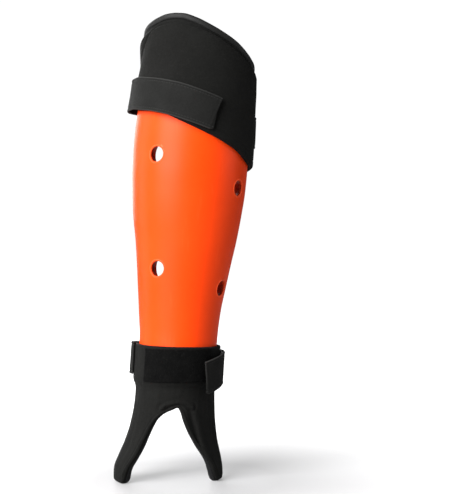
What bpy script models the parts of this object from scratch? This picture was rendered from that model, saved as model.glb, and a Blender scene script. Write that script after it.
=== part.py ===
"""A field hockey shin guard: a moulded shell on a padded liner, with soft covers at knee and ankle.

Metres, +Z up. The shin faces -Y, the high side of the knee flap is at -X, and the guard stands on the
tips of its two ankle flaps. Every layer lies on one skin, the outer face of the shell: an angle round
the leg (0 at the shin, minus on the high side), a height above the floor and an offset out from it.
"""
import math

import bmesh
import bpy
from mathutils import Matrix, Vector

# Overall form
GUARD_HEIGHT = 0.400
CALF_WIDTH = 0.1015
SIDE_LEAN = 0.0275
BACK_LEAN = 0.0035
FREE_EDGE_ANGLE = 120.0

# Layers, from the leg outwards
LINER_THICKNESS = 0.0060
SHELL_THICKNESS = 0.0025
KNEE_PAD_THICKNESS = 0.0040
KNEE_SEAM_THICKNESS = 0.0022
ANKLE_COVER_THICKNESS = 0.0028
LAYER_GAP = 0.0005

# Edges of the layers
BINDING_WIDTH = 0.0060
BINDING_PROUD = 0.0005
SHELL_TOP_INSET = 0.0145
SHELL_FOOT = 0.0900
COVER_LAP = 0.0035
COVER_SLOPE = 0.0050
BINDING_FOOT_GAP = 0.0060

# Vents
VENT_DIAMETER = 0.0126
FUNNEL_MOUTH = 0.0200
FUNNEL_WALL = 0.0013
CUTTER_REACH = 0.0010

# Straps
STRAP_WIDTH = 0.0280
STRAP_THICKNESS = 0.0018
HOOK_THICKNESS = 0.0012
HOOK_LENGTH = 0.0360
HOOK_INSET = 0.0010
LOOP_THICKNESS = 0.0012
LOOP_HEIGHT = 0.0280
LOOP_MIDDLE = 0.1010
LOOP_ANGLES = (-64.0, 37.0)

# Blank sewn-in label
LABEL_WIDTH = 0.0050
LABEL_LENGTH = 0.0150
LABEL_THICKNESS = 0.0006
LABEL_HEIGHT = 0.1690
LABEL_GAP = 0.0012

# Faceting
SHELL_COLUMNS = 32
SHELL_ROWS = 16
FLAP_ROWS = 6
ANKLE_ROWS = 2
LINER_ROWS = 12
KNEE_ROWS = 5
EDGE_ROWS = 11
PATCH_COLUMNS = 14
STRAP_STEPS = 32
HOOK_STEPS = 6
VENT_SIDES = 14

# Sections: height (share of GUARD_HEIGHT), centre to the side (share of SIDE_LEAN), half width and
# shin depth (shares of CALF_WIDTH)
SECTIONS = (
    (0.000, -0.49, 0.462, 0.462),
    (0.031, -0.48, 0.454, 0.454),
    (0.048, -0.45, 0.437, 0.437),
    (0.083, -0.39, 0.389, 0.392),
    (0.118, -0.33, 0.359, 0.366),
    (0.153, -0.28, 0.343, 0.353),
    (0.188, -0.25, 0.335, 0.347),
    (0.250, -0.19, 0.332, 0.344),
    (0.310, -0.13, 0.336, 0.348),
    (0.362, -0.09, 0.353, 0.362),
    (0.415, -0.02, 0.380, 0.384),
    (0.466, 0.05, 0.407, 0.407),
    (0.518, 0.12, 0.437, 0.434),
    (0.570, 0.16, 0.467, 0.462),
    (0.622, 0.21, 0.488, 0.481),
    (0.675, 0.25, 0.498, 0.491),
    (0.730, 0.30, 0.499, 0.492),
    (0.790, 0.37, 0.490, 0.484),
    (0.850, 0.47, 0.478, 0.473),
    (0.905, 0.57, 0.480, 0.471),
    (0.950, 0.61, 0.489, 0.473),
    (1.000, 0.63, 0.494, 0.474),
)

# Top outline: angle, height (share of GUARD_HEIGHT)
TOP_EDGE = (
    (-120.0, 0.931), (-112.0, 0.952), (-102.0, 0.968), (-92.0, 0.978), (-83.0, 0.984), (-73.0, 0.989),
    (-60.0, 0.995), (-50.0, 0.999), (-42.0, 1.000), (-30.0, 0.998), (-17.0, 0.989), (-1.0, 0.973),
    (14.0, 0.957), (28.0, 0.942), (40.0, 0.928), (54.0, 0.914), (67.0, 0.904), (85.0, 0.889),
    (100.0, 0.875), (111.0, 0.856), (120.0, 0.822),
)

# Foot outline with the two flap tips and the notch between them: angle, height (share of GUARD_HEIGHT)
FOOT_EDGE = (
    (-120.0, 0.165), (-114.0, 0.098), (-107.0, 0.052), (-101.0, 0.022), (-96.0, 0.006),
    (-92.0, 0.000), (-69.0, 0.000), (-66.0, 0.010), (-62.0, 0.030), (-57.0, 0.052), (-53.0, 0.072),
    (-50.0, 0.092), (-45.0, 0.116), (-38.0, 0.136), (-27.0, 0.150), (-14.0, 0.159), (-7.0, 0.163),
    (-2.0, 0.154), (4.0, 0.133), (12.0, 0.111), (20.0, 0.093), (29.0, 0.074), (38.0, 0.055),
    (45.0, 0.036), (51.0, 0.015), (55.0, 0.004), (58.0, 0.000), (71.0, 0.000), (76.0, 0.011),
    (82.0, 0.034), (91.0, 0.078), (102.0, 0.122), (111.0, 0.154), (120.0, 0.180),
)

# Lower edge of the knee cover: angle, height (share of GUARD_HEIGHT)
KNEE_EDGE = (
    (-120.0, 0.893), (-112.0, 0.882), (-105.0, 0.852), (-97.0, 0.818), (-88.0, 0.803),
    (-45.0, 0.788), (-23.0, 0.768), (-5.0, 0.750), (11.0, 0.734), (26.0, 0.719),
    (39.0, 0.706), (50.0, 0.693), (62.0, 0.683), (78.0, 0.677), (120.0, 0.665),
)

# Upper edge of the ankle cover: angle, height (share of GUARD_HEIGHT)
ANKLE_EDGE = ((-120.0, 0.296), (-60.0, 0.294), (0.0, 0.292), (60.0, 0.289), (120.0, 0.288))

# Side edges of the shell: height (share of GUARD_HEIGHT), high side angle, low side angle
SHELL_SIDES = (
    (0.200, 98.0, 84.0), (0.300, 100.0, 86.0), (0.410, 102.0, 91.0), (0.465, 104.0, 96.0),
    (0.515, 106.0, 100.0), (0.570, 108.0, 104.0), (0.625, 110.0, 107.0), (0.680, 111.0, 109.0),
    (1.000, 111.0, 109.0),
)

# Vents: angle, height (share of GUARD_HEIGHT)
VENTS = (
    (-46.7, 0.700), (47.0, 0.630),
    (-45.5, 0.458), (49.7, 0.415),
    (-32.0, 0.272), (30.0, 0.262),
)

# Angles of the columns of the soft layers, closer together at the flap tips
COLUMN_ANGLES = (
    -120.0, -114.0, -107.0, -101.0, -96.0, -92.0, -84.0, -76.0, -69.0, -66.0, -62.0, -57.0, -53.0,
    -50.0, -45.0, -38.0, -30.0, -22.0, -14.0, -7.0, -2.0, 4.0, 12.0, 20.0, 29.0, 38.0, 45.0, 51.0,
    58.0, 65.0, 71.0, 76.0, 82.0, 91.0, 100.0, 110.0, 120.0,
)

# Strap routes, from the sewn end: angle, height (share of GUARD_HEIGHT), distance out from where the
# strap would lie on the pad (share of CALF_WIDTH). Past the free edges it crosses the open back.
UPPER_ROUTE = (
    (86.0, 0.757, 0.000), (100.0, 0.757, 0.000), (112.0, 0.759, 0.000), (121.0, 0.762, -0.021),
    (128.0, 0.766, -0.067), (136.0, 0.772, -0.139), (150.0, 0.782, -0.197), (165.0, 0.792, -0.223),
    (180.0, 0.802, -0.230), (195.0, 0.811, -0.223), (210.0, 0.819, -0.195), (224.0, 0.826, -0.133),
    (232.0, 0.830, -0.065), (239.0, 0.833, -0.008), (248.0, 0.835, 0.030), (259.0, 0.836, 0.024),
    (272.0, 0.836, 0.005), (300.0, 0.829, 0.000), (327.0, 0.816, 0.000), (351.0, 0.797, 0.000),
    (372.0, 0.779, 0.000),
)
LOWER_ROUTE = (
    (-92.0, 0.263, 0.000), (-100.0, 0.263, 0.003), (-109.0, 0.262, 0.021), (-119.0, 0.261, 0.003),
    (-128.0, 0.259, -0.053), (-138.0, 0.256, -0.099), (-150.0, 0.252, -0.123), (-165.0, 0.249, -0.135),
    (-180.0, 0.247, -0.137), (-195.0, 0.245, -0.129), (-210.0, 0.244, -0.107), (-222.0, 0.243, -0.067),
    (-233.0, 0.243, -0.016), (-244.0, 0.243, 0.019), (-258.0, 0.242, 0.025), (-276.0, 0.241, 0.020),
    (-296.0, 0.239, 0.024), (-316.0, 0.236, 0.036), (-332.0, 0.232, 0.052),
)

# Colours, roughness
ORANGE = ((0.90, 0.115, 0.012, 1.0), 0.38)
BLACK_FOAM = ((0.010, 0.010, 0.011, 1.0), 0.85)
BLACK_CLOTH = ((0.016, 0.016, 0.016, 1.0), 0.80)
BLACK_BINDING = ((0.022, 0.022, 0.022, 1.0), 0.70)
BLACK_WEBBING = ((0.020, 0.020, 0.019, 1.0), 0.75)
BLACK_HOOK = ((0.012, 0.012, 0.012, 1.0), 0.60)
BLACK_LOOP = ((0.008, 0.008, 0.008, 1.0), 0.95)
WHITE_LABEL = ((0.80, 0.80, 0.78, 1.0), 0.70)


def clear_scene():
    for scene_object in list(bpy.data.objects):
        bpy.data.objects.remove(scene_object, do_unlink=True)


def read_curve(rows, at, column=1):
    """Reads a table of (place, value...) rows on a smooth curve that never overshoots its rows."""
    places = [row[0] for row in rows]
    values = [row[column] for row in rows]
    if places[-1] < places[0]:
        places.reverse()
        values.reverse()
    if at <= places[0]:
        return values[0]
    if at >= places[-1]:
        return values[-1]
    steps = [b - a for a, b in zip(places, places[1:])]
    rises = [(b - a) / step for a, b, step in zip(values, values[1:], steps)]
    slopes = [rises[0]]
    for before, after, left, right in zip(rises, rises[1:], steps, steps[1:]):
        if before * after <= 0.0:
            slopes.append(0.0)
        else:
            near, far = 2 * right + left, right + 2 * left
            slopes.append((near + far) / (near / before + far / after))
    slopes.append(rises[-1])
    row = max(i for i, place in enumerate(places[:-1]) if place <= at)
    t = (at - places[row]) / steps[row]
    return ((1 + 2 * t) * (1 - t) ** 2 * values[row] + t * (1 - t) ** 2 * steps[row] * slopes[row]
            + t * t * (3 - 2 * t) * values[row + 1] + t * t * (t - 1) * steps[row] * slopes[row + 1])


def blend(low, high, value):
    t = min(1.0, max(0.0, (value - low) / (high - low)))
    return t * t * (3 - 2 * t)


def section(height):
    share = height / GUARD_HEIGHT
    side, half_width, depth = (read_curve(SECTIONS, share, column) for column in (1, 2, 3))
    return side * SIDE_LEAN, share * BACK_LEAN, half_width * CALF_WIDTH, depth * CALF_WIDTH


def skin_point(angle, height, offset=0.0):
    centre_x, centre_y, half_width, depth = section(height)
    turn = math.radians(angle)
    reach = depth if math.cos(turn) > 0.0 else half_width
    out_x, out_y = math.sin(turn) / half_width, -math.cos(turn) / reach
    length = math.hypot(out_x, out_y)
    return Vector((centre_x + half_width * math.sin(turn) + offset * out_x / length,
                   centre_y - reach * math.cos(turn) + offset * out_y / length,
                   height))


def skin_normal(angle, height):
    return (skin_point(angle, height, 1.0) - skin_point(angle, height)).normalized()


def arc_angle(length, height):
    return math.degrees(length / section(height)[2])


def top_edge(angle):
    return GUARD_HEIGHT * read_curve(TOP_EDGE, angle)


def foot_edge(angle):
    return GUARD_HEIGHT * read_curve(FOOT_EDGE, angle)


def knee_edge(angle):
    return GUARD_HEIGHT * read_curve(KNEE_EDGE, angle)


def ankle_edge(angle):
    return GUARD_HEIGHT * read_curve(ANKLE_EDGE, angle)


def shell_side(angle, height):
    column = 1 if angle < 0.0 else 2
    return read_curve(SHELL_SIDES, height / GUARD_HEIGHT, column)


def binding_side(height, gap=0.0):
    return FREE_EDGE_ANGLE - arc_angle(BINDING_WIDTH + gap, height)


def shell_top(angle):
    """The top of the shell follows the corners of the band, whose inner edge is narrower than the outline."""
    return top_edge(angle * FREE_EDGE_ANGLE / binding_side(GUARD_HEIGHT)) - SHELL_TOP_INSET


def past_shell(angle, height):
    """How far a place on the skin lies outside the outline of the shell."""
    sideways = (abs(angle) - shell_side(angle, height)) * math.radians(1.0) * section(height)[2]
    return max(sideways, height - shell_top(angle), SHELL_FOOT - height)


def liner_face():
    return -SHELL_THICKNESS - LAYER_GAP


def cover_inner(angle, height):
    """The covers lie on the shell, and slope down on to the liner just past its edge."""
    on_shell, on_liner = LAYER_GAP, liner_face() + LAYER_GAP
    return on_shell + (on_liner - on_shell) * blend(COVER_LAP, COVER_LAP + COVER_SLOPE,
                                                   past_shell(angle, height))


def material(name, look):
    colour, roughness = look
    new = bpy.data.materials.new(name)
    new.use_nodes = True
    shader = new.node_tree.nodes["Principled BSDF"]
    shader.inputs["Base Color"].default_value = colour
    shader.inputs["Roughness"].default_value = roughness
    shader.inputs["Metallic"].default_value = 0.0
    new.diffuse_color = colour
    return new


def add_object(name, mesh, collection, look=None):
    new = bpy.data.objects.new(name, mesh)
    collection.objects.link(new)
    if look is not None:
        mesh.materials.append(material(name, look))
        mesh.shade_smooth()
        mesh.set_sharp_from_angle(angle=math.radians(35.0))
    return new


def slab(name, inner_grid, outer_grid, collection, look):
    """A closed slab between two grids of points, listed row by row from the foot up."""
    shape = bmesh.new()
    inner = [[shape.verts.new(point) for point in row] for row in inner_grid]
    outer = [[shape.verts.new(point) for point in row] for row in outer_grid]
    rows, columns = len(inner), len(inner[0])
    for r in range(rows - 1):
        for c in range(columns - 1):
            shape.faces.new((outer[r][c], outer[r][c + 1], outer[r + 1][c + 1], outer[r + 1][c]))
            shape.faces.new((inner[r][c], inner[r + 1][c], inner[r + 1][c + 1], inner[r][c + 1]))
    for c in range(columns - 1):
        shape.faces.new((inner[0][c], inner[0][c + 1], outer[0][c + 1], outer[0][c]))
        shape.faces.new((inner[-1][c + 1], inner[-1][c], outer[-1][c], outer[-1][c + 1]))
    for r in range(rows - 1):
        shape.faces.new((inner[r + 1][0], inner[r][0], outer[r][0], outer[r + 1][0]))
        shape.faces.new((inner[r][-1], inner[r + 1][-1], outer[r + 1][-1], outer[r][-1]))
    bmesh.ops.recalc_face_normals(shape, faces=shape.faces)
    bmesh.ops.triangulate(shape, faces=shape.faces)
    mesh = bpy.data.meshes.new(name)
    shape.to_mesh(mesh)
    shape.free()
    return add_object(name, mesh, collection, look)


def layer(name, places, inner, outer, collection, look):
    """A slab on the skin. places holds rows of (angle, height); inner and outer give the offsets."""
    faces = []
    for offset in (inner, outer):
        faces.append([[skin_point(angle, height, offset(angle, height)) for angle, height in row]
                      for row in places])
    return slab(name, faces[0], faces[1], collection, look)


def steps(low, high, count):
    return [low + (high - low) * i / count for i in range(count + 1)]


def make_shell(collection):
    places = []
    for share in steps(0.0, 1.0, SHELL_ROWS):
        nominal = SHELL_FOOT + (GUARD_HEIGHT - SHELL_TOP_INSET - SHELL_FOOT) * share
        row = []
        for across in steps(-1.0, 1.0, SHELL_COLUMNS):
            angle = across * shell_side(across, nominal)
            row.append((angle, SHELL_FOOT + (shell_top(angle) - SHELL_FOOT) * share))
        places.append(row)
    return layer("shin_shell", places, lambda a, h: -SHELL_THICKNESS, lambda a, h: 0.0, collection, ORANGE)


def flap_rows():
    """Places of the foot of the soft layers, with rows where the cover leaves the shell."""
    columns = []
    for angle in COLUMN_ANGLES:
        slope_top = SHELL_FOOT - COVER_LAP
        heights = steps(foot_edge(angle), slope_top - COVER_SLOPE, FLAP_ROWS)
        heights += steps(slope_top, ankle_edge(angle), ANKLE_ROWS)
        columns.append([(angle, height) for height in heights])
    return [list(row) for row in zip(*columns)]


def make_liner(collection):
    places = flap_rows()
    gap = BINDING_WIDTH + LAYER_GAP
    for share in steps(0.0, 1.0, LINER_ROWS):
        row = []
        for edge_angle in COLUMN_ANGLES:
            low = ankle_edge(edge_angle) + BINDING_FOOT_GAP
            high = top_edge(edge_angle) - gap
            height = low + (high - low) * share
            row.append((edge_angle / FREE_EDGE_ANGLE * binding_side(height, LAYER_GAP), height))
        places.append(row)
    return layer("foam_liner", places, lambda a, h: liner_face() - LINER_THICKNESS,
                 lambda a, h: liner_face(), collection, BLACK_FOAM)


def make_ankle_cover(collection):
    return layer("ankle_cover", flap_rows(), cover_inner,
                 lambda a, h: cover_inner(a, h) + ANKLE_COVER_THICKNESS, collection, BLACK_CLOTH)


def knee_outer(angle, height):
    """The pad swells from its seam to its full thickness."""
    rim = min(top_edge(angle) - BINDING_WIDTH - height,
              (binding_side(height) - abs(angle)) * math.radians(1.0) * section(height)[2])
    swell = KNEE_SEAM_THICKNESS + (KNEE_PAD_THICKNESS - KNEE_SEAM_THICKNESS) * blend(0.0, 0.014, rim)
    return cover_inner(angle, height) + swell


def make_knee_cover(collection):
    columns = []
    for edge_angle in COLUMN_ANGLES:
        high = top_edge(edge_angle) - BINDING_WIDTH - LAYER_GAP
        angle = edge_angle / FREE_EDGE_ANGLE * binding_side(high, LAYER_GAP)
        low = knee_edge(angle)
        heights = steps(low, shell_top(angle) + COVER_LAP, KNEE_ROWS) + [high]
        columns.append([(edge_angle / FREE_EDGE_ANGLE * binding_side(height, LAYER_GAP), height)
                        for height in heights])
    return layer("knee_cover", [list(row) for row in zip(*columns)], cover_inner, knee_outer,
                 collection, BLACK_CLOTH)


def binding_stations():
    """Pairs of places, on the outline and on the inner edge of the band, up one side, over and down."""
    top = [((angle, top_edge(angle)),
            (angle / FREE_EDGE_ANGLE * binding_side(top_edge(angle) - BINDING_WIDTH),
             top_edge(angle) - BINDING_WIDTH)) for angle in COLUMN_ANGLES]
    sides = []
    for side in (-1, 1):
        edge = side * FREE_EDGE_ANGLE
        low = ankle_edge(edge) + BINDING_FOOT_GAP
        high = top_edge(edge) - BINDING_WIDTH
        sides.append([((edge, height), (side * binding_side(height), height))
                      for height in steps(low, high, EDGE_ROWS)[:-1]])
    return sides[0] + top + sides[1][::-1]


def make_binding(collection):
    stations = binding_stations()
    low, high = liner_face() - LINER_THICKNESS - BINDING_PROUD, -LAYER_GAP
    inner = [[skin_point(*place, low) for place in pair] for pair in stations]
    outer = [[skin_point(*place, high) for place in pair] for pair in stations]
    return slab("edge_binding", inner, outer, collection, BLACK_BINDING)


def ribbon(name, line, inner, thickness, collection, look):
    """A flat band along rows of points, inner metres out from them and thickness thick."""
    faces = []
    for offset in (inner, inner + thickness):
        rows = []
        for row in line:
            moved = []
            for i, point in enumerate(row):
                along = row[min(i + 1, len(row) - 1)] - row[max(i - 1, 0)]
                out = Vector((along.y, -along.x, 0.0)).normalized()
                moved.append(point + offset * out)
            rows.append(moved)
        faces.append(rows)
    return slab(name, faces[0], faces[1], collection, look)


def hook_span(route):
    """The stretch of angle that the hook patch covers at the free end of a strap."""
    end, share = route[-1][:2]
    back = -1.0 if end > route[0][0] else 1.0
    return [end + back * arc_angle(length, share * GUARD_HEIGHT)
            for length in (HOOK_LENGTH + HOOK_INSET, HOOK_INSET)]


def route_point(route, pad, angle, turn=0.0, rise=0.0):
    """A point on the middle of a strap's thickness, turn degrees along and rise metres up its width."""
    start, end = hook_span(route)
    lead = start - (end - start) / 3
    lift = (HOOK_THICKNESS + LAYER_GAP) * blend(0.0, 1.0, (angle - lead) / (start - lead))
    seat = LAYER_GAP + pad + LAYER_GAP + STRAP_THICKNESS / 2
    return skin_point(angle + turn, read_curve(route, angle) * GUARD_HEIGHT + rise,
                      seat + lift + read_curve(route, angle, 2) * CALF_WIDTH)


def route_line(route, pad, width, first, last, count):
    """Rows of points along a strap's route, for its lower edge, middle and upper edge."""
    line = []
    for across in (-width / 2, 0.0, width / 2):
        row = []
        for angle in steps(first, last, count):
            along = route_point(route, pad, angle + 0.5) - route_point(route, pad, angle - 0.5)
            flat = math.hypot(along.x, along.y)
            slope = math.atan2(along.z, flat)
            row.append(route_point(route, pad, angle, -across * math.sin(slope) / flat,
                                   across * math.cos(slope)))
        line.append(row)
    return line


def make_strap(name, route, pad, collection):
    first, last = sorted((route[0][0], route[-1][0]))
    line = route_line(route, pad, STRAP_WIDTH, first, last, STRAP_STEPS)
    return ribbon(name, line, -STRAP_THICKNESS / 2, STRAP_THICKNESS, collection, BLACK_WEBBING)


def make_hook(name, route, pad, collection):
    first, last = sorted(hook_span(route))
    line = route_line(route, pad, STRAP_WIDTH - 2 * HOOK_INSET, first, last, HOOK_STEPS)
    inner = -STRAP_THICKNESS / 2 - LAYER_GAP - HOOK_THICKNESS
    return ribbon(name, line, inner, HOOK_THICKNESS, collection, BLACK_HOOK)


def make_loop_patch(collection):
    places = [[(angle, height) for angle in steps(*LOOP_ANGLES, PATCH_COLUMNS)]
              for height in steps(LOOP_MIDDLE - LOOP_HEIGHT / 2, LOOP_MIDDLE + LOOP_HEIGHT / 2, 3)]

    def seat(angle, height):
        return cover_inner(angle, height) + ANKLE_COVER_THICKNESS + LAYER_GAP

    return layer("ankle_loop_patch", places, seat, lambda a, h: seat(a, h) + LOOP_THICKNESS,
                 collection, BLACK_LOOP)


def make_label(collection):
    """The label lies on the inner face of the liner, beside the band of the low side."""
    edge = binding_side(LABEL_HEIGHT, LABEL_GAP)
    heights = steps(LABEL_HEIGHT - LABEL_LENGTH / 2, LABEL_HEIGHT + LABEL_LENGTH / 2, 2)
    places = [[(angle, height) for angle in (edge - arc_angle(LABEL_WIDTH, LABEL_HEIGHT), edge)]
              for height in heights]
    face = liner_face() - LINER_THICKNESS - LAYER_GAP
    return layer("seam_label", places, lambda a, h: face - LABEL_THICKNESS, lambda a, h: face,
                 collection, WHITE_LABEL)


def cone_cutter(shape, angle, share, foot, head, radius_at):
    """Adds a cone along the skin's normal, between two offsets, with the radius read at each."""
    height = share * GUARD_HEIGHT
    normal = skin_normal(angle, height)
    turn = normal.to_track_quat("Z", "Y").to_matrix().to_4x4()
    middle = skin_point(angle, height, (foot + head) / 2)
    bmesh.ops.create_cone(shape, cap_ends=True, segments=VENT_SIDES, radius1=radius_at(foot),
                          radius2=radius_at(head), depth=head - foot,
                          matrix=Matrix.Translation(middle) @ turn)


def bore_radius(offset):
    depth = -(liner_face() - LINER_THICKNESS)
    return (VENT_DIAMETER + (FUNNEL_MOUTH - VENT_DIAMETER) * -offset / depth) / 2


def vent_object(name, foot, head, extra, collection):
    shape = bmesh.new()
    for angle, share in VENTS:
        cone_cutter(shape, angle, share, foot, head, lambda offset: bore_radius(offset) + extra)
    mesh = bpy.data.meshes.new(name)
    shape.to_mesh(mesh)
    shape.free()
    cutter = add_object(name, mesh, collection)
    cutter.hide_render = True
    cutter.display_type = "WIRE"
    return cutter


def add_boolean(target, cutter, operation):
    modifier = target.modifiers.new(cutter.name, "BOOLEAN")
    modifier.object = cutter
    modifier.operation = operation
    modifier.solver = "EXACT"
    modifier.use_self = True


def cut_vents(shell, liner, collection):
    inner_face = liner_face() - LINER_THICKNESS
    funnels = vent_object("funnels", inner_face, -SHELL_THICKNESS / 2, FUNNEL_WALL, collection)
    bores = vent_object("bores", inner_face - CUTTER_REACH, CUTTER_REACH, 0.0, collection)
    clearances = vent_object("clearances", inner_face - CUTTER_REACH, CUTTER_REACH,
                             FUNNEL_WALL + LAYER_GAP, collection)
    add_boolean(shell, funnels, "UNION")
    add_boolean(shell, bores, "DIFFERENCE")
    add_boolean(liner, clearances, "DIFFERENCE")


def stand_on_origin(parts, helpers):
    """Moves everything so that the floor point below the middle of the whole guard is the origin."""
    bpy.context.view_layer.update()
    corners = [part.matrix_world @ vertex.co for part in parts for vertex in part.data.vertices]
    low = [min(corner[axis] for corner in corners) for axis in range(3)]
    high = [max(corner[axis] for corner in corners) for axis in range(3)]
    shift = Vector((-(low[0] + high[0]) / 2, -(low[1] + high[1]) / 2, -low[2]))
    for scene_object in parts + helpers:
        scene_object.location += shift


def main():
    clear_scene()
    guard = bpy.data.collections.new("hockey_shin_guard")
    cutters = bpy.data.collections.new("cutters")
    for collection in (guard, cutters):
        bpy.context.scene.collection.children.link(collection)
    shell = make_shell(guard)
    liner = make_liner(guard)
    parts = [shell, liner, make_knee_cover(guard), make_ankle_cover(guard), make_binding(guard),
             make_loop_patch(guard), make_label(guard)]
    for place, route, pad in (("upper", UPPER_ROUTE, KNEE_PAD_THICKNESS),
                              ("lower", LOWER_ROUTE, ANKLE_COVER_THICKNESS)):
        parts.append(make_strap(place + "_strap", route, pad, guard))
        parts.append(make_hook(place + "_hook_tab", route, pad, guard))
    cut_vents(shell, liner, cutters)
    stand_on_origin(parts, list(cutters.objects))


main()
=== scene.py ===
import bisect
import math

import bpy
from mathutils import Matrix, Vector, noise


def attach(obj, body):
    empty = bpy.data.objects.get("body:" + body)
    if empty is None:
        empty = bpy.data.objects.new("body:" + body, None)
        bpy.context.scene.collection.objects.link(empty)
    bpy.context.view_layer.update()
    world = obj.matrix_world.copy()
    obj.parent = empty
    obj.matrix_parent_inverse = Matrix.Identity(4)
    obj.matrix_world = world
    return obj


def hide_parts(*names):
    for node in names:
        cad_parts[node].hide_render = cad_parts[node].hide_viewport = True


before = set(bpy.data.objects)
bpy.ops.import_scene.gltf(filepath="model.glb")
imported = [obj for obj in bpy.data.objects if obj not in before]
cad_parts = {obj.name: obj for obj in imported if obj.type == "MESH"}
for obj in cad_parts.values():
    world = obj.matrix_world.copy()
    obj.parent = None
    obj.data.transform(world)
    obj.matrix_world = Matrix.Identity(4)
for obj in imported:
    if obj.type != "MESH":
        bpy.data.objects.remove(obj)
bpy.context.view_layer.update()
print("scene: frame loaded")

# The leg form that every layer is wrapped on. Metres and degrees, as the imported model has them.
legForm = {
    "height": 0.400,
    "calfWidth": 0.1015,
    "sideLean": 0.0275,
    "backLean": 0.0035,
    "place": (-0.00345, 0.00922, 0.0),   # where the form's own origin stands in the frame
    "patternRadius": 0.040,              # a flat pattern's x is an angle in radians times this
    "patternScale": 10.0,                # UV units to the metre
    "freeEdge": 120.0,
    "slopeStep": 1.5,                    # degrees to either side, where an outline's slope is read
    "leastHeight": 0.03,                 # below this the flaps' width is read as here
    "weld": 0.00002,
    # height share, centre to the side, half width, depth at the shin
    "sections": (
        (0.000, -0.49, 0.462, 0.462), (0.031, -0.48, 0.454, 0.454), (0.048, -0.45, 0.437, 0.437),
        (0.083, -0.39, 0.389, 0.392), (0.118, -0.33, 0.359, 0.366), (0.153, -0.28, 0.343, 0.353),
        (0.188, -0.25, 0.335, 0.347), (0.250, -0.19, 0.332, 0.344), (0.310, -0.13, 0.336, 0.348),
        (0.362, -0.09, 0.353, 0.362), (0.415, -0.02, 0.380, 0.384), (0.466, 0.05, 0.407, 0.407),
        (0.518, 0.12, 0.437, 0.434), (0.570, 0.16, 0.467, 0.462), (0.622, 0.21, 0.488, 0.481),
        (0.675, 0.25, 0.498, 0.491), (0.730, 0.30, 0.499, 0.492), (0.790, 0.37, 0.490, 0.484),
        (0.850, 0.47, 0.478, 0.473), (0.905, 0.57, 0.480, 0.471), (0.950, 0.61, 0.489, 0.473),
        (1.000, 0.63, 0.494, 0.474)),
}
tall, freeEdge = legForm["height"], legForm["freeEdge"]

# Outlines of the layers: angle round the leg, height share
outlines = {
    "top": (
        (-120, 0.931), (-112, 0.952), (-102, 0.968), (-92, 0.978), (-83, 0.984), (-73, 0.989), (-60, 0.995),
        (-50, 0.999), (-42, 1.000), (-30, 0.998), (-17, 0.989), (-1, 0.973), (14, 0.957), (28, 0.942),
        (40, 0.928), (54, 0.914), (67, 0.904), (85, 0.889), (100, 0.875), (111, 0.856), (120, 0.822)),
    "foot": (
        (-120, 0.165), (-114, 0.098), (-107, 0.052), (-101, 0.022), (-96, 0.006), (-92, 0.000), (-69, 0.000),
        (-66, 0.010), (-62, 0.030), (-57, 0.052), (-53, 0.072), (-50, 0.092), (-45, 0.116), (-38, 0.136),
        (-27, 0.150), (-14, 0.159), (-7, 0.163), (-2, 0.154), (4, 0.133), (12, 0.111), (20, 0.093),
        (29, 0.074), (38, 0.055), (45, 0.036), (51, 0.015), (55, 0.004), (58, 0.000), (71, 0.000),
        (76, 0.011), (82, 0.034), (91, 0.078), (102, 0.122), (111, 0.154), (120, 0.180)),
    "knee": (
        (-120, 0.893), (-112, 0.882), (-105, 0.852), (-97, 0.818), (-88, 0.803), (-45, 0.788), (-23, 0.768),
        (-5, 0.750), (11, 0.734), (26, 0.719), (39, 0.706), (50, 0.693), (62, 0.683), (78, 0.677),
        (120, 0.665)),
    # upper edge of the knee cover's padded panel
    "panel": (
        (-120, 0.800), (-112, 0.845), (-100, 0.893), (-88, 0.922), (-77, 0.946), (-65, 0.968), (-51, 0.9780),
        (-42, 0.9795), (-33, 0.9770), (-14, 0.966), (2, 0.953), (14, 0.938), (27, 0.922), (41, 0.906), (54, 0.893),
        (67, 0.881), (85, 0.864), (100, 0.848), (111, 0.828), (120, 0.790)),
    "ankle": ((-120, 0.296), (-60, 0.294), (0, 0.292), (60, 0.289), (120, 0.288)),
    # height share, angle of the shell's edge on the high side and on the low side
    "shellSides": (
        (0.200, 98, 84), (0.300, 100, 86), (0.410, 102, 91), (0.465, 104, 96), (0.515, 106, 100),
        (0.570, 108, 104), (0.625, 110, 107), (0.680, 111, 109), (1.000, 111, 109)),
}

# Offsets out from the outer face of the shell, and the widths of the bands
layers = {
    "shellThickness": 0.0025,
    "gap": 0.0005,
    "sewnIn": 0.0009,         # how far the pads run in under the binding
    "linerThickness": 0.0060,
    "kneeThickness": 0.0040,
    "kneeSeam": 0.0022,
    "ankleThickness": 0.0028,
    "bindingWidth": 0.0060,
    "shellTopInset": 0.0145,
    "shellFoot": 0.0900,
    "coverLap": 0.0035,
    "coverSlope": 0.0050,
}


def smoothCurve(rows, column=1):
    # a cubic through the rows that never overshoots them
    places = [float(row[0]) for row in rows]
    values = [float(row[column]) for row in rows]
    spans = [b - a for a, b in zip(places, places[1:])]
    rises = [(b - a) / span for a, b, span in zip(values, values[1:], spans)]
    slopes = [rises[0]]
    for before, after, left, right in zip(rises, rises[1:], spans, spans[1:]):
        if before * after <= 0:
            slopes.append(0.0)
        else:
            near, far = 2 * right + left, right + 2 * left
            slopes.append((near + far) / (near / before + far / after))
    slopes.append(rises[-1])

    def read(at):
        if at <= places[0]:
            return values[0]
        if at >= places[-1]:
            return values[-1]
        i = bisect.bisect_right(places, at) - 1
        t, span = (at - places[i]) / spans[i], spans[i]
        return ((1 + 2 * t) * (1 - t) ** 2 * values[i] + t * (1 - t) ** 2 * span * slopes[i]
                + t * t * (3 - 2 * t) * values[i + 1] + t * t * (t - 1) * span * slopes[i + 1])

    return read


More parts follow.
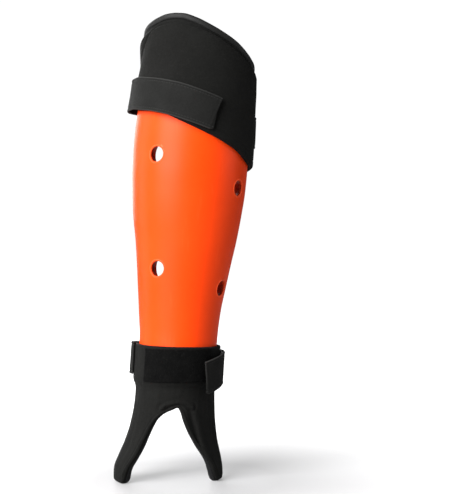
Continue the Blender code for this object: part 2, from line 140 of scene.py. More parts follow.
readSide, readWidth, readDepth = (smoothCurve(legForm["sections"], column) for column in (1, 2, 3))
readTop, readFoot, readKnee, readPanel, readAnkle = (
    smoothCurve(outlines[name]) for name in ("top", "foot", "knee", "panel", "ankle"))
readHighSide, readLowSide = (smoothCurve(outlines["shellSides"], column) for column in (1, 2))


def blend(low, high, value):
    t = min(1.0, max(0.0, (value - low) / (high - low)))
    return t * t * (3 - 2 * t)


def halfWidth(height):
    return readWidth(height / tall) * legForm["calfWidth"]


def formPoint(angle, height, offset=0.0):
    share = height / tall
    width, depth = readWidth(share) * legForm["calfWidth"], readDepth(share) * legForm["calfWidth"]
    turn = math.radians(angle)
    reach = depth if math.cos(turn) > 0 else width
    outX, outY = math.sin(turn) / width, -math.cos(turn) / reach
    length = math.hypot(outX, outY)
    x, y, z = legForm["place"]
    return Vector((x + readSide(share) * legForm["sideLean"] + width * math.sin(turn) + offset * outX / length,
                   y + share * legForm["backLean"] - reach * math.cos(turn) + offset * outY / length,
                   z + height))


def arcDegrees(length, height):
    return math.degrees(length / halfWidth(height))


def arcLength(degrees, height):
    return math.radians(degrees) * halfWidth(height)


def edgeHeight(read, angle):
    return tall * read(angle)


def bindingSide(height, gap=0.0):
    return freeEdge - arcDegrees(layers["bindingWidth"] + gap, height)


def shellSide(angle, height):
    return (readHighSide if angle < 0 else readLowSide)(height / tall)


def shellTop(angle):
    wide = angle * freeEdge / bindingSide(tall)
    return edgeHeight(readTop, wide) - layers["shellTopInset"]


linerFace = -layers["shellThickness"] - layers["gap"]
linerInside = linerFace - layers["linerThickness"]


def pastShell(angle, height):
    sideways = arcLength(abs(angle) - shellSide(angle, height), height)
    return max(sideways, height - shellTop(angle), layers["shellFoot"] - height)


def coverSeat(angle, height):
    onShell, onLiner = layers["gap"], linerFace + layers["gap"]
    lap, slope = layers["coverLap"], layers["coverSlope"]
    return onShell + (onLiner - onShell) * blend(lap, lap + slope, pastShell(angle, height))


def ridge(value, size, middle, width):
    # a rounded ridge, or with a size below 0 a groove
    return size * math.exp(-((value - middle) / width) ** 2)


def squarish(part, power):
    # sine or cosine drawn out towards a squared section
    return math.copysign(abs(part) ** power, part)


def distanceBelow(read, angle, height):
    # rough distance down from an outline, across its slope
    step = legForm["slopeStep"]
    rise = edgeHeight(read, angle + step) - edgeHeight(read, angle - step)
    run = arcLength(2 * step, max(height, legForm["leastHeight"]))
    return (edgeHeight(read, angle) - height) * run / math.hypot(run, rise)


def lineDistance(line, angle, height):
    # metres from a line given by angle and height share: above it or right of it more than 0, else less
    nearest = 1.0
    for (angleA, shareA), (angleB, shareB) in zip(line, line[1:]):
        runX, runY = arcLength(angleB - angleA, height), (shareB - shareA) * tall
        x, y = arcLength(angle - angleA, height), height - shareA * tall
        t = min(1.0, max(0.0, (x * runX + y * runY) / (runX * runX + runY * runY)))
        off = math.hypot(x - t * runX, y - t * runY)
        if off < abs(nearest):
            nearest = math.copysign(off, runX * y - runY * x)
    return nearest


def deselectAll():
    if bpy.context.object and bpy.context.object.mode != "OBJECT":
        bpy.ops.object.mode_set(mode="OBJECT")
    bpy.ops.object.select_all(action="DESELECT")


def selectOnly(piece):
    deselectAll()
    piece.select_set(True)
    bpy.context.view_layer.objects.active = piece


def flatPattern(name, columns, rows, place):
    # a grid whose points are placed between outlines, laid flat
    deselectAll()
    bpy.ops.mesh.primitive_grid_add(x_subdivisions=columns, y_subdivisions=rows, size=2.0)
    piece = bpy.context.object
    piece.name = name
    for vertex in piece.data.vertices:
        across, share = vertex.co.x, (vertex.co.y + 1) / 2
        angle, height = place(across, share)
        vertex.co = (math.radians(angle) * legForm["patternRadius"], height, 0.0)
    return piece


def patternPlace(co):
    return math.degrees(co.x / legForm["patternRadius"]), co.y


def selectFaces(piece, wanted):
    # leaves the piece in edit mode
    bpy.ops.object.mode_set(mode="EDIT")
    bpy.ops.mesh.select_mode(type="FACE")
    bpy.ops.mesh.select_all(action="DESELECT")
    bpy.ops.object.mode_set(mode="OBJECT")
    for polygon in piece.data.polygons:
        polygon.select = wanted(polygon)
    bpy.ops.object.mode_set(mode="EDIT")


def faceOutwards(piece, roll=False):
    # roll joins a rolled grid along its seam and closes its ends first
    selectOnly(piece)
    bpy.ops.object.mode_set(mode="EDIT")
    bpy.ops.mesh.select_all(action="SELECT")
    if roll:
        bpy.ops.mesh.remove_doubles(threshold=legForm["weld"])
        bpy.ops.mesh.select_all(action="DESELECT")
        bpy.ops.mesh.select_mode(type="EDGE")
        bpy.ops.mesh.select_non_manifold()
        bpy.ops.mesh.fill()
        bpy.ops.mesh.select_all(action="SELECT")
    bpy.ops.mesh.normals_make_consistent(inside=False)
    bpy.ops.object.mode_set(mode="OBJECT")


def thicken(piece, thickness):
    # straight up in the flat pattern, so the wall has one thickness once it is wrapped
    selectOnly(piece)
    bpy.ops.object.mode_set(mode="EDIT")
    bpy.ops.mesh.select_all(action="SELECT")
    bpy.ops.mesh.extrude_region_move(TRANSFORM_OT_translate={"value": (0, 0, thickness)})
    faceOutwards(piece)


def applyModifier(piece, kind, **settings):
    selectOnly(piece)
    modifier = piece.modifiers.new(kind.lower(), kind)
    for key, value in settings.items():
        setattr(modifier, key, value)
    bpy.ops.object.modifier_apply(modifier=modifier.name)


def keepPattern(piece, places):
    # the flat pattern becomes the UV map, so weave and stitches follow the cloth
    maps, scale = piece.data.uv_layers, legForm["patternScale"]
    pattern = maps.get("pattern") or maps.new(name="pattern")
    for loop in piece.data.loops:
        place = places[loop.vertex_index]
        pattern.data[loop.index].uv = (place[0] * scale, place[1] * scale)
    for other in [other for other in maps if other.name != "pattern"]:
        maps.remove(other)


def wrapOnForm(piece, offsetAt=None):
    for vertex in piece.data.vertices:
        angle, height = patternPlace(vertex.co)
        offset = vertex.co.z if offsetAt is None else offsetAt(angle, height, vertex.co.z)
        vertex.co = formPoint(angle, height, offset)
    faceOutwards(piece)


def smoothFaces(piece, angle=40.0):
    selectOnly(piece)
    bpy.ops.object.shade_smooth_by_angle(angle=math.radians(angle))


def finishPiece(piece, material, slot, *nodes):
    for vertex in piece.data.vertices:        # soft tips lie flat where they rest on the floor
        vertex.co.z = max(0.0, vertex.co.z)
    piece.data.materials.clear()
    piece.data.materials.append(material)
    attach(piece, "root")
    if nodes:
        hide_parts(*nodes)


# The moulded shell, with a funnel through the padding at each vent
shellSizes = {
    "columns": 176,
    "rows": 220,
    "ventRadius": 0.0063,
    "cutMargin": 0.0004,
    "rimReach": 1.35,         # the grid round a vent is drawn towards it within this many radii,
    "rimRing": 1.06,          # on to a ring of this many radii,
    "rimPull": 0.35,          # by this share of the way
    "edgeRound": 0.0008,
    "edgeSegments": 3,
    "sharpAngle": 60.0,
    "ringVertices": 72,
    # angle, height share of each vent
    "vents": ((-46.7, 0.700), (47.0, 0.630), (-45.5, 0.458), (49.7, 0.415), (-32.0, 0.272), (30.0, 0.262)),
    # radius beyond the vent's, offset: round the lip, down the cone and back up its outer wall
    "funnel": ((0.0019, -0.0002), (0.0017, 0.00012), (0.0011, 0.00028), (0.0005, 0.00012), (0.0001, -0.0004),
               (0.0001, -0.0012), (0.0009, -0.0032), (0.0020, -0.0058), (0.0031, -0.0083), (0.0036, -0.0092),
               (0.0042, -0.0095), (0.0048, -0.0093), (0.0050, -0.0086), (0.0044, -0.0072), (0.0030, -0.0040),
               (0.0022, -0.0016)),
}


def ventDistance(angle, height, vent):
    ventHeight = vent[1] * tall
    return math.hypot(arcLength(angle - vent[0], ventHeight), height - ventHeight)


def cutVents(piece, radius):
    # the faces inside each vent go, and the edge that is left is drawn on to a true circle
    def inside(polygon):
        angle, height = patternPlace(polygon.center)
        return any(ventDistance(angle, height, vent) < radius for vent in shellSizes["vents"])

    selectOnly(piece)
    selectFaces(piece, inside)
    bpy.ops.mesh.delete(type="FACE")
    bpy.ops.object.mode_set(mode="OBJECT")
    uses = {}
    for polygon in piece.data.polygons:
        for key in polygon.edge_keys:
            uses[key] = uses.get(key, 0) + 1
    rim = {end for key, count in uses.items() if count == 1 for end in key}
    for vertex in piece.data.vertices:
        angle, height = patternPlace(vertex.co)
        for vent in shellSizes["vents"]:
            distance = ventDistance(angle, height, vent)
            if distance < radius * shellSizes["rimReach"]:
                ventHeight = vent[1] * tall
                pull = 1 + (radius * shellSizes["rimRing"] / distance - 1) * shellSizes["rimPull"]
                if vertex.index in rim:
                    pull = radius / distance
                angle = vent[0] + (angle - vent[0]) * pull
                height = ventHeight + (height - ventHeight) * pull
                vertex.co.x = math.radians(angle) * legForm["patternRadius"]
                vertex.co.y = height


def makeFunnel(vent):
    first = shellSizes["funnel"][0]
    deselectAll()
    bpy.ops.mesh.primitive_circle_add(vertices=shellSizes["ringVertices"],
                                      radius=shellSizes["ventRadius"] + first[0], location=(0, 0, first[1]))
    ring = bpy.context.object
    bpy.ops.object.transform_apply(location=True)
    bpy.ops.object.mode_set(mode="EDIT")
    bpy.ops.mesh.select_mode(type="EDGE")
    bpy.ops.mesh.select_all(action="SELECT")
    before = first
    for step in shellSizes["funnel"][1:]:
        bpy.ops.mesh.extrude_edges_move(TRANSFORM_OT_translate={"value": (0, 0, step[1] - before[1])})
        grow = (shellSizes["ventRadius"] + step[0]) / (shellSizes["ventRadius"] + before[0])
        bpy.ops.transform.resize(value=(grow, grow, 1), center_override=(0, 0, 0))
        before = step
    bpy.ops.mesh.select_all(action="DESELECT")
    bpy.ops.mesh.select_non_manifold()
    bpy.ops.mesh.bridge_edge_loops()
    bpy.ops.object.mode_set(mode="OBJECT")
    for vertex in ring.data.vertices:
        height = vent[1] * tall
        vertex.co = formPoint(vent[0] + arcDegrees(vertex.co.x, height), height + vertex.co.y, vertex.co.z)
    faceOutwards(ring)
    keepPattern(ring, [vertex.co for vertex in ring.data.vertices])
    return ring


def makeShell():
    foot, top = layers["shellFoot"], tall - layers["shellTopInset"]

    def place(across, share):
        angle = across * shellSide(across, foot + (top - foot) * share)
        return angle, foot + (shellTop(angle) - foot) * share

    shell = flatPattern("shinShell", shellSizes["columns"], shellSizes["rows"], place)
    cutVents(shell, shellSizes["ventRadius"] + shellSizes["cutMargin"])
    for vertex in shell.data.vertices:
        vertex.co.z = -layers["shellThickness"]
    thicken(shell, layers["shellThickness"])
    applyModifier(shell, "BEVEL", width=shellSizes["edgeRound"], segments=shellSizes["edgeSegments"],
                  limit_method="ANGLE", angle_limit=math.radians(shellSizes["sharpAngle"]))
    keepPattern(shell, [vertex.co for vertex in shell.data.vertices])
    wrapOnForm(shell)
    rings = [makeFunnel(vent) for vent in shellSizes["vents"]]
    selectOnly(shell)
    for ring in rings:
        ring.select_set(True)
    bpy.ops.object.join()
    smoothFaces(shell, 50)
    return shell


def fineEdges(t, strength=0.8):
    # spreads places from 0 to 1 so that they lie closer together at both ends
    return t - strength * math.sin(2 * math.pi * t) / (2 * math.pi)


def roundedEdge(distance, radius):
    # share of the full thickness at a distance in from a rounded edge
    if distance >= radius:
        return 1.0
    return math.sqrt(max(0.0, 1 - (1 - max(0.0, distance) / radius) ** 2))


clothFrames = 20
clothSettings = {
    "quality": 4, "mass": 0.15, "tension_stiffness": 12, "compression_stiffness": 12, "bending_stiffness": 1.5}


def keepFlat(piece):
    # the flat place of every point stays with it as an attribute through simulation and subdivision
    attribute = piece.data.attributes.new("flat", "FLOAT_VECTOR", "POINT")
    for vertex in piece.data.vertices:
        attribute.data[vertex.index].vector = vertex.co


def plump(pad, sizes, *distances):
    # swells a closed pad with a short cloth simulation, its leg side and edges held, then caps each point's way
    selectOnly(pad)
    flat = pad.data.attributes["flat"]

    def held(vertex):
        spot = flat.data[vertex.index].vector
        return spot.z < 0.5 or any(distance(*patternPlace(spot)) < sizes["heldEdge"] for distance in distances)

    group = pad.vertex_groups.new(name="held")
    group.add([vertex.index for vertex in pad.data.vertices if held(vertex)], 1.0, "REPLACE")
    rest = [vertex.co.copy() for vertex in pad.data.vertices]
    cloth = pad.modifiers.new("cloth", "CLOTH")
    for key, value in clothSettings.items():
        setattr(cloth.settings, key, value)
    cloth.settings.use_pressure = True
    cloth.settings.uniform_pressure_force = sizes["pressure"]
    cloth.settings.vertex_group_mass = "held"
    cloth.settings.effector_weights.gravity = 0.0
    cloth.collision_settings.use_collision = False
    cloth.point_cache.frame_start, cloth.point_cache.frame_end = 1, clothFrames
    for step in range(1, clothFrames + 1):
        bpy.context.scene.frame_set(step)
    bpy.ops.object.modifier_apply(modifier=cloth.name)
    for vertex, before in zip(pad.data.vertices, rest):
        moved = vertex.co - before
        if moved.length > sizes["cap"]:
            vertex.co = before + moved * sizes["cap"] / moved.length
    bpy.context.scene.frame_set(1)


def dress(piece, levels=0, detail=None, inside=False):
    # subdivides a pad, then moves each point of one side along its normal by what its flat place asks for
    if levels:
        applyModifier(piece, "SUBSURF", levels=levels, render_levels=levels)
    spots = [spot.vector.copy() for spot in piece.data.attributes["flat"].data]
    moves = [vertex.normal * detail(*patternPlace(spot)) if detail and (spot.z < 0.5) == inside else Vector()
             for vertex, spot in zip(piece.data.vertices, spots)]
    for vertex, move in zip(piece.data.vertices, moves):
        vertex.co += move
    keepPattern(piece, spots)


def softNoise(angle, height, size, seed=0.0):
    # slow unevenness of padding, from -1 to 1, size in metres
    return noise.noise(Vector((math.radians(angle) * legForm["patternRadius"] / size, height / size, seed)))


def paddedPatch(name, columns, rows, place, inner, outer):
    # a closed pad between two offsets; its flat slab has z 0 on the leg side and 1 on the outer side
    pad = flatPattern(name, columns, rows, place)
    thicken(pad, 1.0)
    keepFlat(pad)
    wrapOnForm(pad, lambda angle, height, z: inner(angle, height) if z < 0.5 else outer(angle, height))
    return pad


# The knee cover: a soft front over the top of the shell
kneeSizes = {
    "columns": 130,
    "rows": 56,
    "swell": 0.016,
    "lip": (-0.0004, 0.0030),     # the panel rises quickly here by lipShare, then slowly over the swell
    "lipShare": 0.35,
    "lipLoss": 0.18,
    "flare": 0.0010,              # how far the rim outside the panel turns out on the high side
    "flareAngles": (-48, -72),
    "flareReach": (-0.0010, 0.0100),
    "bunching": 0.75,
    "least": 0.0003,
    "edgeRound": 0.0034,
    "edgeStart": 0.0006,
    "lowerRound": 0.0026,
    "lowerStart": 0.0004,
    "unevenness": 0.00022,
    "unevenSize": 0.022,
    # size, middle and width
    "puckers": (0.00030, 0.0, 0.005),
    "hem": (-0.00030, 0.0062, 0.0007),
    "seam": (-0.00170, 0.0, 0.00090),
    "puckerSize": 0.0032,
    "seamEnd": (-0.0010, 0.0006),
    "fill": 0.6,
    "pressure": 4.0,
    "cap": 0.0012,
    "heldEdge": 0.002,
}


def kneeRim(angle, height):
    # distance in from the binding
    return min(edgeHeight(readTop, angle) - layers["bindingWidth"] - height,
               arcLength(bindingSide(height) - abs(angle), height))


def kneeLow(angle, height):
    return height - edgeHeight(readKnee, angle)


def makeKneeCover():
    sizes, sewnIn = kneeSizes, layers["sewnIn"]

    def place(across, share):
        across = math.copysign(2 * fineEdges((1 + abs(across)) / 2, sizes["bunching"]) - 1, across)
        high = edgeHeight(readTop, across * freeEdge) - layers["bindingWidth"] + sewnIn
        low = edgeHeight(readKnee, across * bindingSide(high, -sewnIn))
        height = low + (high - low) * fineEdges(share)
        return across * bindingSide(height, -sewnIn), height

    def outer(angle, height):
        panel = distanceBelow(readPanel, angle, height)
        flared = blend(*sizes["flareAngles"], angle)
        quick = sizes["lipShare"] - sizes["lipLoss"] * flared
        swell = quick * blend(*sizes["lip"], panel) + (1 - quick) * blend(0.0, sizes["swell"], panel)
        thick = layers["kneeSeam"] + (layers["kneeThickness"] - layers["kneeSeam"]) * swell
        thick += sizes["flare"] * flared * blend(*sizes["flareReach"], -panel)
        rim = roundedEdge(kneeRim(angle, height) + sewnIn + sizes["edgeStart"], sizes["edgeRound"])
        low = roundedEdge(kneeLow(angle, height) + sizes["lowerStart"], sizes["lowerRound"])
        return coverSeat(angle, height) + sizes["least"] + thick * min(rim, low)

    def detail(angle, height):
        panel = distanceBelow(readPanel, angle, height)
        puckers = ridge(panel, *sizes["puckers"]) * softNoise(angle, height * 0.5, sizes["puckerSize"], 3)
        seam = ridge(panel, *sizes["seam"]) * blend(*sizes["seamEnd"], kneeRim(angle, height))
        uneven = sizes["unevenness"] * softNoise(angle, height, sizes["unevenSize"], 1)
        return puckers + seam + uneven + ridge(kneeLow(angle, height), *sizes["hem"])

    pad = paddedPatch("kneeCover", sizes["columns"], sizes["rows"], place, coverSeat, outer)
    plump(pad, sizes, kneeRim, kneeLow)
    dress(pad, 1, detail)
    smoothFaces(pad, 60)
    return pad


# The ankle cover: over the foot of the shell and the outer side of both flaps
ankleSizes = {
    "columns": 220,
    "rows": 44,
    "bunching": (0.5, 0.7),   # across and up
    "least": 0.0002,
    "edgeRound": 0.0030,
    "edgeStart": 0.0003,
    "topRound": 0.0016,
    "topStart": 0.0004,
    "unevenness": 0.00025,
    "unevenSize": 0.016,
    "fill": 0.5,
    "pressure": 3.0,
    "cap": 0.0010,
    "heldEdge": 0.0015,
    # soft folds, angle and height share: over the notch, down the low-side flap, down the high-side flap
    "archFold": ((-30, 0.163), (-25, 0.1685), (-16, 0.1745), (-5, 0.1765), (6, 0.1735), (14, 0.165)),
    "lowFold": ((13, 0.158), (20, 0.128), (26, 0.100), (30, 0.075), (34, 0.046), (38, 0.020)),
    "highFold": ((-28, 0.158), (-43, 0.1185), (-50, 0.087), (-55, 0.060), (-61, 0.036), (-66, 0.020)),
    # size, middle and width of what runs along them, along the middle of each flap and along the edge
    "archRidge": (0.0013, 0.0, 0.0017),
    "archGroove": (-0.0007, 0.0030, 0.0014),
    "lowRidge": (0.0008, 0.0034, 0.0026),
    "highRidge": (0.0011, 0.0, 0.0026),
    "highGroove": (-0.0006, 0.0050, 0.0018),
    "lowSpine": (0.0011, 66, 8.0),
    "highSpine": (0.0006, -84, 8.0),
    "piping": (-0.00045, 0.0030, 0.0007),
    "facet": -0.0025,         # beside the low fold: how deep, and where it starts, is deepest and ends
    "facetLine": (-0.0085, -0.0012, 0.0014),
    "crease": 0.00022,
    "creaseSize": 0.010,
    # heights between which each fades out
    "foldTop": (0.074, 0.066),
    "lowFoldTop": (0.068, 0.054),
    "spineTop": (0.066, 0.045),
    "creaseTop": (0.105, 0.080),
    "foldInset": 0.003,
}


def footDistance(angle, height):
    return -distanceBelow(readFoot, angle, height)


def sideDistance(angle, height):
    return arcLength(freeEdge - abs(angle), height)


def edgeDistance(angle, height):
    return min(footDistance(angle, height), sideDistance(angle, height))


def ankleTop(angle, height):
    return edgeHeight(readAnkle, angle) - height


def makeAnkleCover():
    sizes = ankleSizes

    def place(across, share):
        angle = (2 * fineEdges((1 + across) / 2, sizes["bunching"][0]) - 1) * freeEdge
        foot = edgeHeight(readFoot, angle)
        return angle, foot + (edgeHeight(readAnkle, angle) - foot) * fineEdges(share, sizes["bunching"][1])

    def outer(angle, height):
        edge = roundedEdge(edgeDistance(angle, height) + sizes["edgeStart"], sizes["edgeRound"])
        top = roundedEdge(ankleTop(angle, height) + sizes["topStart"], sizes["topRound"])
        return coverSeat(angle, height) + sizes["least"] + layers["ankleThickness"] * min(edge, top)

    def detail(angle, height):
        foot = abs(lineDistance(outlines["foot"], angle, height)) if height < sizes["foldTop"][0] else 1.0
        edge = min(foot, sideDistance(angle, height))
        arch, low, high = (lineDistance(sizes[name], angle, height) for name in ("archFold", "lowFold", "highFold"))
        start, deepest, end = sizes["facetLine"]
        facet = sizes["facet"] * (blend(start, deepest, low) if low < deepest else blend(end, deepest, low))
        fold = ridge(arch, *sizes["archRidge"]) + ridge(abs(arch), *sizes["archGroove"])
        fold += (facet + ridge(low, *sizes["lowRidge"])) * blend(*sizes["lowFoldTop"], height)
        fold += ridge(high, *sizes["highRidge"]) + ridge(high, *sizes["highGroove"])
        spine = ridge(angle, *sizes["lowSpine"]) + ridge(angle, *sizes["highSpine"])
        raised = fold * blend(*sizes["foldTop"], height) + spine * blend(*sizes["spineTop"], height)
        creases = sizes["crease"] * softNoise(angle * 2.2, height * 0.7, sizes["creaseSize"], 6)
        uneven = sizes["unevenness"] * softNoise(angle, height, sizes["unevenSize"], 5)
        return (raised * blend(0.0, sizes["foldInset"], edge) + ridge(edge, *sizes["piping"])
                + creases * blend(*sizes["creaseTop"], height) + uneven)

    pad = paddedPatch("ankleCover", sizes["columns"], sizes["rows"], place, coverSeat, outer)
    plump(pad, sizes, edgeDistance, ankleTop)
    dress(pad, 1, detail)
    smoothFaces(pad, 60)
    return pad


# The liner: padding inside the shell, out to the flap tips
linerSizes = {
    "columns": 200,
    "rows": 230,
    "ventRadius": 0.0106,
    "edgeRound": 0.0042,
    "edgeStart": 0.0004,
    "edgeTop": 0.125,             # no free edge above this height
    "bunching": 0.6,
    "bindingStart": (0.112, 0.122),
    "unevenness": 0.00030,
    "wrinkleShare": 0.4,
    "unevenSizes": (0.03, 0.009),
    "fill": 0.5,
}


def makeLiner():
    sizes, sewnIn = linerSizes, layers["sewnIn"]

    def place(across, share):
        low = edgeHeight(readFoot, across * freeEdge)
        high = edgeHeight(readTop, across * freeEdge) - layers["bindingWidth"] + sewnIn
        height = low + (high - low) * fineEdges(share, sizes["bunching"])
        side = freeEdge + (bindingSide(height, -sewnIn) - freeEdge) * blend(*sizes["bindingStart"], height)
        return across * side, height

    def offset(angle, height, z):
        if z > 0.5:
            return linerFace
        edge = edgeDistance(angle, height) if height < sizes["edgeTop"] else 1.0
        return linerFace - layers["linerThickness"] * roundedEdge(edge + sizes["edgeStart"], sizes["edgeRound"])

    def detail(angle, height):
        wide, fine = sizes["unevenSizes"]
        wrinkles = sizes["wrinkleShare"] * softNoise(angle, height, fine, 8)
        return sizes["unevenness"] * (softNoise(angle, height, wide, 7) + wrinkles)

    pad = flatPattern("foamLiner", sizes["columns"], sizes["rows"], place)
    cutVents(pad, sizes["ventRadius"])
    thicken(pad, 1.0)
    keepFlat(pad)
    wrapOnForm(pad, offset)
    dress(pad, 0, detail, inside=True)
    smoothFaces(pad, 60)
    return pad


def spacedEvenly(points, count=None, step=None):
    # for even steps along the points: the point before, the share of the way to the next, and the length so far
    lengths = [0.0]
    for a, b in zip(points, points[1:]):
        lengths.append(lengths[-1] + (b - a).length)
    count = count or int(lengths[-1] / step)
    result, i = [], 0
    for n in range(count + 1):
        want = lengths[-1] * n / count
        while i < len(lengths) - 2 and lengths[i + 1] < want:
            i += 1
        result.append((i, (want - lengths[i]) / (lengths[i + 1] - lengths[i]), want))
    return result


def rolledBand(name, columns, ringPoints, placeAt):
    # a grid rolled into a closed band; placeAt gives a point and its pattern place for a column and a ring place
    deselectAll()
    bpy.ops.mesh.primitive_grid_add(x_subdivisions=columns - 1, y_subdivisions=ringPoints, size=2.0)
    band = bpy.context.object
    band.name = name
    pattern = []
    for vertex in band.data.vertices:
        row = vertex.index // columns
        turn = 2 * math.pi * row / ringPoints
        vertex.co, spot = placeAt(vertex.index % columns, row, math.cos(turn), math.sin(turn))
        pattern.append(spot)
    keepPattern(band, pattern)
    faceOutwards(band, roll=True)
    return band


# The rolled band round the free side edges and the top
bindingSizes = {
    "ringPoints": 28,
    "ringPitch": 0.0012,
    "step": 0.0011,
    "sidePoints": 120,
    "topStep": 0.5,
    "reach": 6,               # points to either side that give the outline's direction
    "front": 0.0006,          # how far its face stands out from the shell's outer face
    "inside": 0.0008,         # how far it stands in from the liner
    "acrossPower": 0.55,
    "outPower": 0.62,
    "groove": 0.0007,
    "groovePlace": 0.55,
    "grooveWidth": 0.0008,
    "pucker": 0.00028,
    "puckerLength": 0.0042,
    "puckerWidth": 0.004,
    "frontLength": 0.008,
    "footGap": 0.0060,
}


def bindingRoute():
    # angle, height and length so far: up the high side, over the top and down the low side
    sizes = bindingSizes
    foot = [edgeHeight(readAnkle, side * freeEdge) + sizes["footGap"] for side in (-1, 1)]
    top = [edgeHeight(readTop, side * freeEdge) for side in (-1, 1)]
    parts, steps = sizes["sidePoints"], int(2 * freeEdge / sizes["topStep"])
    rough = [(-freeEdge, foot[0] + (top[0] - foot[0]) * i / parts) for i in range(parts)]
    over = [-freeEdge + i * sizes["topStep"] for i in range(steps + 1)]
    rough += [(angle, edgeHeight(readTop, angle)) for angle in over]
    rough += [(freeEdge, top[1] + (foot[1] - top[1]) * i / parts) for i in range(1, parts + 1)]
    points = [Vector((math.radians(angle) * halfWidth(height), height)) for angle, height in rough]
    return [tuple(rough[i][k] + (rough[i + 1][k] - rough[i][k]) * t for k in (0, 1)) + (run,)
            for i, t, run in spacedEvenly(points, step=sizes["step"])]


def inwardAt(route, i):
    # direction in the flat pattern, square to the outline, towards the middle of the guard
    a, b = route[max(0, i - bindingSizes["reach"])], route[min(len(route) - 1, i + bindingSizes["reach"])]
    along = Vector((arcLength(b[0] - a[0], route[i][1]), b[1] - a[1])).normalized()
    return Vector((along.y, -along.x))


def makeBinding():
    route, sizes, width = bindingRoute(), bindingSizes, layers["bindingWidth"]
    outside, inside = sizes["front"], linerInside - sizes["inside"]
    middle, half = (outside + inside) / 2, (outside - inside) / 2
    inwards = [inwardAt(route, i) for i in range(len(route))]

    def placeAt(column, row, c, s):
        # a squarish roll: round at the outline, flat towards the padding
        angle, height, run = route[column]
        across = width / 2 - squarish(c, sizes["acrossPower"]) * width / 2
        out = middle + squarish(s, sizes["outPower"]) * half
        if s < 0:
            out += ridge(across, sizes["groove"], width * sizes["groovePlace"], sizes["grooveWidth"])
            spot = (run / sizes["puckerLength"], across / sizes["puckerWidth"], 2.0)
            out += sizes["pucker"] * noise.noise(Vector(spot))
        else:
            out -= 0.5 * sizes["pucker"] * noise.noise(Vector((run / sizes["frontLength"], 5.0, 0.0)))
        height += inwards[column].y * across
        angle += arcDegrees(inwards[column].x * across, height)
        return formPoint(angle, height, out), (run, row * sizes["ringPitch"])

    band = rolledBand("edgeBinding", len(route), sizes["ringPoints"], placeAt)
    smoothFaces(band, 60)
    return band


# The straps. Routes from the sewn end: angle, height share, share of the calf width out from the pad.
strapSizes = {
    "width": 0.0280,
    "thickness": 0.0018,
    "steps": 300,
    "ringPoints": 52,
    "acrossPower": 0.34,
    "outPower": 0.30,
    "cornerRound": 0.0014,
    "cornerShare": 0.8,
    "endRound": 0.0008,
    "endLeast": 0.25,
    "edgeBead": (0.00022, 0.0011, 0.0006),
    "sideStitch": (-0.00022, 0.0026, 0.0005),
    "endStitch": (-0.00022, 0.0028, 0.0005),
    "endPlain": 0.0016,
    "wave": 0.0002,
    "waveSize": (0.02, 0.03),
    "hookPoints": 40,
    "hookThickness": 0.0012,
    "hookBed": 0.0004,
    "hookSink": 0.0002,
    "hookLength": 0.0360,
    "hookInset": 0.0010,
    "hookRelief": 0.00012,
    "hookPitch": 0.0012,
    "samples": 400,
    "upper": (
        (86, 0.757, 0.000), (100, 0.757, 0.000), (112, 0.759, 0.000), (121, 0.762, -0.021), (128, 0.766, -0.067),
        (136, 0.772, -0.139), (150, 0.782, -0.197), (165, 0.792, -0.223), (180, 0.802, -0.230),
        (195, 0.811, -0.223), (210, 0.819, -0.195), (224, 0.826, -0.133), (232, 0.830, -0.065),
        (239, 0.833, -0.008), (248, 0.835, 0.030), (259, 0.836, 0.024), (272, 0.836, 0.005), (300, 0.829, 0.000),
        (327, 0.816, 0.000), (351, 0.797, 0.000), (368, 0.782, 0.000)),
    "lower": (
        (-92, 0.263, 0.000), (-100, 0.263, 0.003), (-109, 0.262, 0.021), (-119, 0.261, 0.003),
        (-128, 0.259, -0.053), (-138, 0.256, -0.099), (-150, 0.252, -0.123), (-165, 0.249, -0.135),
        (-180, 0.247, -0.137), (-195, 0.245, -0.129), (-210, 0.244, -0.107), (-222, 0.243, -0.067),
        (-233, 0.243, -0.016), (-244, 0.243, 0.014), (-258, 0.242, 0.012), (-276, 0.241, 0.004),
        (-296, 0.2385, 0.006), (-316, 0.2345, 0.024), (-338, 0.2270, 0.052)),
}


class StrapRoute:
    # reads a strap's middle line, by angle
    def __init__(self, rows, pad):
        ordered = rows if rows[0][0] < rows[-1][0] else rows[::-1]
        self.height, self.lift = smoothCurve(ordered, 1), smoothCurve(ordered, 2)
        self.sewn, self.end = rows[0][0], rows[-1][0]
        self.seat = 2 * layers["gap"] + pad + strapSizes["thickness"] / 2
        back = -1.0 if self.end > self.sewn else 1.0
        endHeight = rows[-1][1] * tall
        self.hookStart, self.hookEnd = [self.end + back * arcDegrees(length, endHeight) for length in (
            strapSizes["hookLength"] + strapSizes["hookInset"], strapSizes["hookInset"])]

    def point(self, angle, turn=0.0, rise=0.0, out=0.0):
        lead = self.hookStart - (self.hookEnd - self.hookStart) / 3
        lift = (strapSizes["hookThickness"] + layers["gap"]) * blend(0, 1, (angle - lead) / (self.hookStart - lead))
        return formPoint(angle + turn, self.height(angle) * tall + rise,
                         self.seat + lift + self.lift(angle) * legForm["calfWidth"] + out)

    def across(self, angle, across, out=0.0):
        # a point on the strap, across its width from its middle line, square to its run
        along = self.point(angle + 0.5) - self.point(angle - 0.5)
        level = math.hypot(along.x, along.y)
        slope = math.atan2(along.z, level)
        face = Vector((along.y, -along.x, 0.0)).normalized()
        return self.point(angle, -across * math.sin(slope) / level, across * math.cos(slope)) + face * out

    def evenly(self, first, last):
        # angles at even lengths along the strap, from one angle to another, with the length so far
        low, high = sorted((self.sewn, self.end))
        samples = strapSizes["samples"]
        angles = [low + (high - low) * i / samples for i in range(samples + 1)]
        places = [(angles[i] + (angles[i + 1] - angles[i]) * t, run)
                  for i, t, run in spacedEvenly([self.point(angle) for angle in angles], count=strapSizes["steps"])]
        first, last = sorted((first, last))
        return [place for place in places if first - 1e-6 <= place[0] <= last + 1e-6]


